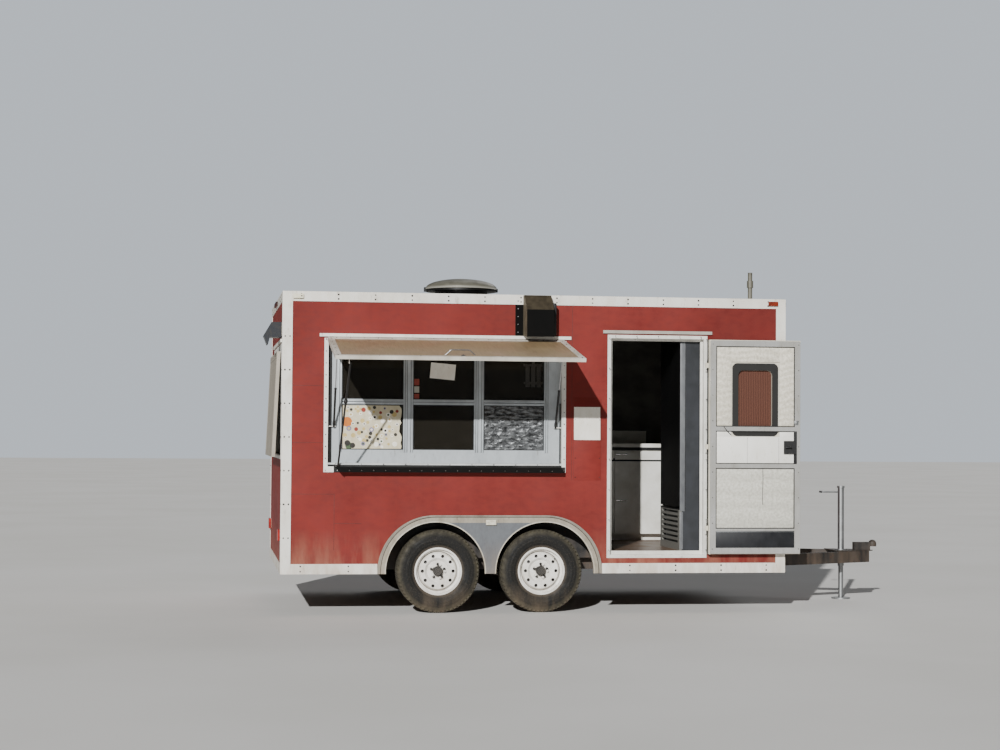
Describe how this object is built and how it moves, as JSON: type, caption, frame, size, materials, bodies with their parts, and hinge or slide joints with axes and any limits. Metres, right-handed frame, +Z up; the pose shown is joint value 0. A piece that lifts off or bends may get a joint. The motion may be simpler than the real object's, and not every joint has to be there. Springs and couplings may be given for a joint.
{
  "type": "concession food trailer",
  "caption": "Boxy two-axle concession food trailer with a top-hinged serving hatch over a sliding window, a side door, a rear hatch, a roof fan and an A-frame tongue on its jack.",
  "frame": {"origin": "centre of the towing ball in the coupler", "axes": "+X to the front, +Y to the road side, +Z up; the serving hatch and the door are at -Y"},
  "size_m": [5.6318, 3.4464, 2.88],
  "materials": {
    "painted_skin": "semi-gloss red enamel on sheet",
    "white_sheet": "white coated sheet",
    "trim": "mill finish",
    "frame_paint": "black enamel",
    "zinc": "zinc plated",
    "floor_board": "sealed plywood",
    "tyre": "rubber",
    "wheel_paint": "white enamel",
    "hatch_sheet": "aged coated sheet",
    "door_skin": "cream coated sheet",
    "glass": "clear",
    "black_plastic": "moulded",
    "strut_tube": "black enamel",
    "strut_rod": "ground and plated",
    "bronze_sheet": "dark bronze coating",
    "vent_sheet": "spun sheet",
    "lens": "ribbed lens",
    "steel_cabinet": "brushed"
  },
  "bodies": {
    "trailer": {"chassis_frame": "frame_paint", "cross_members": "frame_paint", "tongue_rails": "frame_paint", "coupler": "frame_paint", "tongue_jack": "zinc", "axles": "frame_paint", "floor": "floor_board", "side_wall_curb": "painted_skin", "side_wall_road": "painted_skin", "front_wall": "painted_skin", "rear_wall": "painted_skin", "roof": "white_sheet", "roof_trim": "trim", "corner_posts": "trim", "base_trim": "trim", "wheel_boxes": "frame_paint", "arch_trims": "trim", "hatch_frames": "trim", "serving_shelf": "trim", "window_unit": "trim", "window_glass": "glass", "door_frame": "trim", "rain_rails": "trim", "roof_vents": "vent_sheet", "side_hood": "bronze_sheet", "lamps": "lens", "fridge": "steel_cabinet", "base_units": "steel_cabinet"},
    "wheel_rear_curb": {"tyre_rear_curb": "tyre", "rim_rear_curb": "wheel_paint"},
    "wheel_rear_road": {"tyre_rear_road": "tyre", "rim_rear_road": "wheel_paint"},
    "wheel_front_curb": {"tyre_front_curb": "tyre", "rim_front_curb": "wheel_paint"},
    "wheel_front_road": {"tyre_front_road": "tyre", "rim_front_road": "wheel_paint"},
    "side_door": {"side_door": "door_skin", "screen_door": "trim", "door_glass": "glass", "door_latch": "black_plastic"},
    "serving_hatch": {"serving_hatch": "hatch_sheet", "hatch_handle": "hatch_sheet"},
    "strut_tube_rear": {"strut_tube_rear": "strut_tube"},
    "strut_rod_rear": {"strut_rod_rear": "strut_rod"},
    "strut_tube_front": {"strut_tube_front": "strut_tube"},
    "strut_rod_front": {"strut_rod_front": "strut_rod"},
    "prop_rod": {"prop_rod": "strut_tube"},
    "rear_hatch": {"rear_hatch": "hatch_sheet"}
  },
  "joints": [
    {"name": "spin_rear_curb", "type": "hinge", "parent": "trailer", "child": "wheel_rear_curb", "pos_m": [-4.147, -1.0975, -0.156], "axis": [0, 1, 0], "continuous": true},
    {"name": "spin_rear_road", "type": "hinge", "parent": "trailer", "child": "wheel_rear_road", "pos_m": [-4.147, 1.0975, -0.156], "axis": [0, 1, 0], "continuous": true},
    {"name": "spin_front_curb", "type": "hinge", "parent": "trailer", "child": "wheel_front_curb", "pos_m": [-3.283, -1.0975, -0.156], "axis": [0, 1, 0], "continuous": true},
    {"name": "spin_front_road", "type": "hinge", "parent": "trailer", "child": "wheel_front_road", "pos_m": [-3.283, 1.0975, -0.156], "axis": [0, 1, 0], "continuous": true},
    {"name": "door_hinge", "type": "hinge", "parent": "trailer", "child": "side_door", "pos_m": [-1.894, -1.243, 0.9], "axis": [0, 0, 1], "range_deg": [-180, 0]},
    {"name": "hatch_hinge", "type": "hinge", "parent": "trailer", "child": "serving_hatch", "pos_m": [-4.095, -1.231, 1.74], "axis": [1, 0, 0], "range_deg": [0, 79]},
    {"name": "strut_pin_rear", "type": "hinge", "parent": "trailer", "child": "strut_tube_rear", "pos_m": [-5.02, -1.197, 1.036], "axis": [1, 0, 0], "range_deg": [-28.38, 0]},
    {"name": "strut_slide_rear", "type": "slide", "parent": "strut_tube_rear", "child": "strut_rod_rear", "axis": [0, -0.4745, 0.8802], "range_m": [-0.2996, 0]},
    {"name": "strut_pin_front", "type": "hinge", "parent": "trailer", "child": "strut_tube_front", "pos_m": [-3.173, -1.197, 1.036], "axis": [1, 0, 0], "range_deg": [-28.38, 0]},
    {"name": "strut_slide_front", "type": "slide", "parent": "strut_tube_front", "child": "strut_rod_front", "axis": [0, -0.4745, 0.8802], "range_m": [-0.2996, 0]},
    {"name": "prop_pin", "type": "hinge", "parent": "trailer", "child": "prop_rod", "pos_m": [-4.997, -1.414, 0.722], "axis": [1, 0, 0], "range_deg": [0, 137.78]},
    {"name": "rear_hatch_hinge", "type": "hinge", "parent": "trailer", "child": "rear_hatch", "pos_m": [-5.456, -0.3, 1.65], "axis": [0, 1, 0], "range_deg": [-2.5, 76.5]}
  ],
  "couplings": [
    {"joint": "strut_pin_rear", "follows": "hatch_hinge", "ratio": -0.3586},
    {"joint": "strut_slide_rear", "follows": "hatch_hinge", "m_per_rad": -0.21693},
    {"joint": "strut_pin_front", "follows": "hatch_hinge", "ratio": -0.3586},
    {"joint": "strut_slide_front", "follows": "hatch_hinge", "m_per_rad": -0.21693},
    {"joint": "prop_pin", "follows": "hatch_hinge", "ratio": 1.7435}
  ]
}
